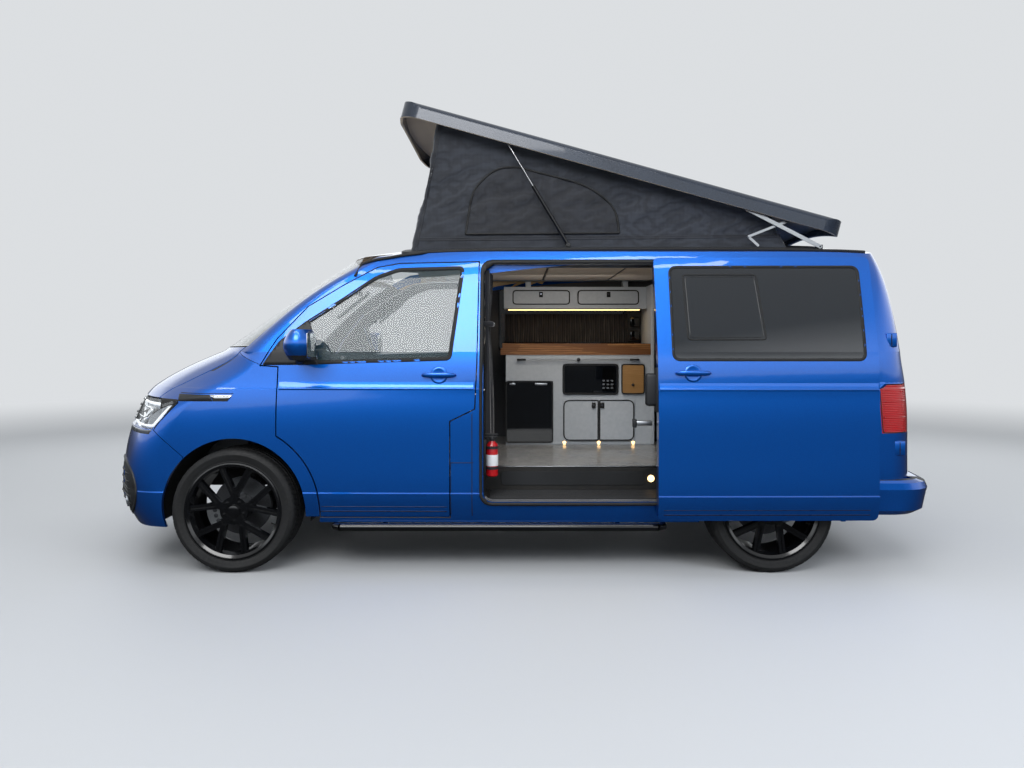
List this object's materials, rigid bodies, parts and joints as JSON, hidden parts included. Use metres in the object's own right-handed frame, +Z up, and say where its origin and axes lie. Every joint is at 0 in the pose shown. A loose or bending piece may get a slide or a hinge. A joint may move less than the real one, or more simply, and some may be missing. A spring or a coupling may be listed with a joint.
{
  "type": "camper van, short wheelbase, raised pop-up roof",
  "caption": "Blue one-box camper van with raised canvas pop-up roof, open sliding side door and fitted kitchen, on black forked-spoke wheels.",
  "frame": {"origin": "middle of the bounding box in plan, on the ground", "axes": "+X is the front of the van, +Y its left side, +Z up"},
  "size_m": [4.903, 2.3184, 2.7083],
  "materials": {
    "body_paint": "gloss metallic blue",
    "clear_glass": "clear, lightly tinted",
    "privacy_glass": "dark privacy glass",
    "black_plastic": "matte black",
    "gloss_black": "gloss black",
    "tyre_rubber": "matte rubber",
    "wheel_paint": "gloss black paint",
    "roof_paint": "dark charcoal gelcoat",
    "canvas_cloth": "charcoal tent cloth",
    "lift_metal": "brushed",
    "red_lens": "red lens",
    "lamp_lens": "clear lens",
    "under_metal": "dark coated steel",
    "exhaust_steel": "dull steel",
    "floor_finish": "light grey sheet floor",
    "furniture_grey": "light grey laminate",
    "oak": "oiled wood",
    "appliance_black": "black glass front",
    "seat_cloth": "dark grey cloth"
  },
  "bodies": {
    "van": {"floor_pan": "floor_finish", "side_left": "body_paint", "side_right": "body_paint", "roof_panel": "body_paint", "roof_frame": "black_plastic", "front_wings": "body_paint", "scuttle_panel": "black_plastic", "front_bumper": "body_paint", "grilles": "black_plastic", "headlamps": "lamp_lens", "tail_lamps": "red_lens", "rear_bumper": "body_paint", "windscreen": "clear_glass", "side_windows": "privacy_glass", "side_bars": "gloss_black", "canvas": "canvas_cloth", "sliding_door": "body_paint", "sliding_window": "privacy_glass", "dashboard": "black_plastic", "cab_seats": "seat_cloth", "kitchen_unit": "furniture_grey", "worktop": "oak", "fridge": "appliance_black", "oven": "appliance_black", "roof_locker": "furniture_grey", "bench_seat": "seat_cloth", "engine_block": "under_metal", "front_frame": "under_metal", "exhaust": "exhaust_steel", "fuel_tank": "under_metal", "rear_axle": "under_metal"},
    "steering": {"steering_wheel": "black_plastic"},
    "knuckle_left": {"knuckle_left": "under_metal"},
    "knuckle_right": {"knuckle_right": "under_metal"},
    "wheel_front_left": {"rim_front_left": "wheel_paint", "tyre_front_left": "tyre_rubber"},
    "wheel_front_right": {"rim_front_right": "wheel_paint", "tyre_front_right": "tyre_rubber"},
    "wheel_rear_left": {"rim_rear_left": "wheel_paint", "tyre_rear_left": "tyre_rubber"},
    "wheel_rear_right": {"rim_rear_right": "wheel_paint", "tyre_rear_right": "tyre_rubber"},
    "door_left": {"door_left": "body_paint", "door_window_left": "clear_glass", "mirror_left": "body_paint"},
    "rear_door_left": {"rear_door_left": "body_paint", "rear_window_left": "privacy_glass"},
    "door_right": {"door_right": "body_paint", "door_window_right": "clear_glass", "mirror_right": "body_paint"},
    "rear_door_right": {"rear_door_right": "body_paint", "rear_window_right": "privacy_glass"},
    "bonnet": {"bonnet": "body_paint"},
    "lift_arms": {"lift_arms": "lift_metal"},
    "roof_shell": {"roof_shell": "roof_paint"},
    "cross_arms": {"cross_arms": "lift_metal"},
    "lift_links": {"lift_links": "lift_metal"},
    "strut_tubes": {"strut_tubes": "lift_metal"},
    "strut_rods": {"strut_rods": "lift_metal"}
  },
  "joints": [
    {"name": "steering", "type": "hinge", "parent": "van", "child": "steering", "pos_m": [1.01, -0.43, 1.12], "axis": [-0.8829, 0, 0.4695], "range_deg": [-450, 450]},
    {"name": "steer_left", "type": "hinge", "parent": "van", "child": "knuckle_left", "pos_m": [1.544, 0.715, 0.345], "axis": [0, 0, 1], "range_deg": [-30, 30]},
    {"name": "steer_right", "type": "hinge", "parent": "van", "child": "knuckle_right", "pos_m": [1.544, -0.715, 0.345], "axis": [0, 0, 1], "range_deg": [-30, 30]},
    {"name": "spin_front_left", "type": "hinge", "parent": "knuckle_left", "child": "wheel_front_left", "pos_m": [1.544, 0.803, 0.345], "axis": [0, 1, 0], "continuous": true},
    {"name": "spin_front_right", "type": "hinge", "parent": "knuckle_right", "child": "wheel_front_right", "pos_m": [1.544, -0.803, 0.345], "axis": [0, 1, 0], "continuous": true},
    {"name": "spin_rear_left", "type": "hinge", "parent": "van", "child": "wheel_rear_left", "pos_m": [-1.456, 0.803, 0.345], "axis": [0, 1, 0], "continuous": true},
    {"name": "spin_rear_right", "type": "hinge", "parent": "van", "child": "wheel_rear_right", "pos_m": [-1.456, -0.803, 0.345], "axis": [0, 1, 0], "continuous": true},
    {"name": "door_left", "type": "hinge", "parent": "van", "child": "door_left", "pos_m": [1.335, 0.92, 0.7], "axis": [0, 0, -1], "range_deg": [0, 65]},
    {"name": "rear_door_left", "type": "hinge", "parent": "van", "child": "rear_door_left", "pos_m": [-2.3, 0.789, 0.693], "axis": [-0.0462, 0.0347, -0.9983], "range_deg": [0, 90]},
    {"name": "door_right", "type": "hinge", "parent": "van", "child": "door_right", "pos_m": [1.335, -0.92, 0.7], "axis": [0, 0, 1], "range_deg": [0, 65]},
    {"name": "rear_door_right", "type": "hinge", "parent": "van", "child": "rear_door_right", "pos_m": [-2.3, -0.789, 0.693], "axis": [0.0462, 0.0347, 0.9983], "range_deg": [0, 90]},
    {"name": "bonnet", "type": "hinge", "parent": "van", "child": "bonnet", "pos_m": [1.5, 0, 1.262], "axis": [0, -1, 0], "range_deg": [0, 50]},
    {"name": "roof_lift", "type": "hinge", "parent": "van", "child": "lift_arms", "pos_m": [-1.806, 0, 1.843], "axis": [0, 1, 0], "range_deg": [0, 26.27], "deforming": ["canvas"]},
    {"name": "roof_tilt", "type": "hinge", "parent": "lift_arms", "child": "roof_shell", "pos_m": [-1.383, 0, 2.061], "axis": [0, 1, 0], "range_deg": [-10.84, 0]},
    {"name": "cross_arms", "type": "hinge", "parent": "lift_arms", "child": "cross_arms", "pos_m": [-1.54911, 0, 1.97539], "axis": [0, 1, 0], "range_deg": [-50.89, 0]},
    {"name": "lift_links", "type": "hinge", "parent": "cross_arms", "child": "lift_links", "pos_m": [-1.39411, 0, 1.90439], "axis": [0, 1, 0], "range_deg": [0, 67.21]},
    {"name": "strut_swing", "type": "hinge", "parent": "van", "child": "strut_tubes", "pos_m": [-0.336, 0, 1.858], "axis": [0, 1, 0], "range_deg": [0, 56.32]},
    {"name": "strut_slide", "type": "slide", "parent": "strut_tubes", "child": "strut_rods", "axis": [0.5127, 0, 0.8586], "range_m": [-0.2422, 0]}
  ],
  "couplings": [
    {"joint": "steer_left", "follows": "steering", "ratio": 0.066667},
    {"joint": "steer_right", "follows": "steering", "ratio": 0.066667},
    {"joint": "roof_tilt", "follows": "roof_lift", "ratio": -0.41215},
    {"joint": "cross_arms", "follows": "roof_lift", "ratio": -1.937},
    {"joint": "lift_links", "follows": "roof_lift", "ratio": 2.5589},
    {"joint": "strut_swing", "follows": "roof_lift", "ratio": 2.1437},
    {"joint": "strut_slide", "follows": "roof_lift", "m_per_rad": -0.52619}
  ]
}
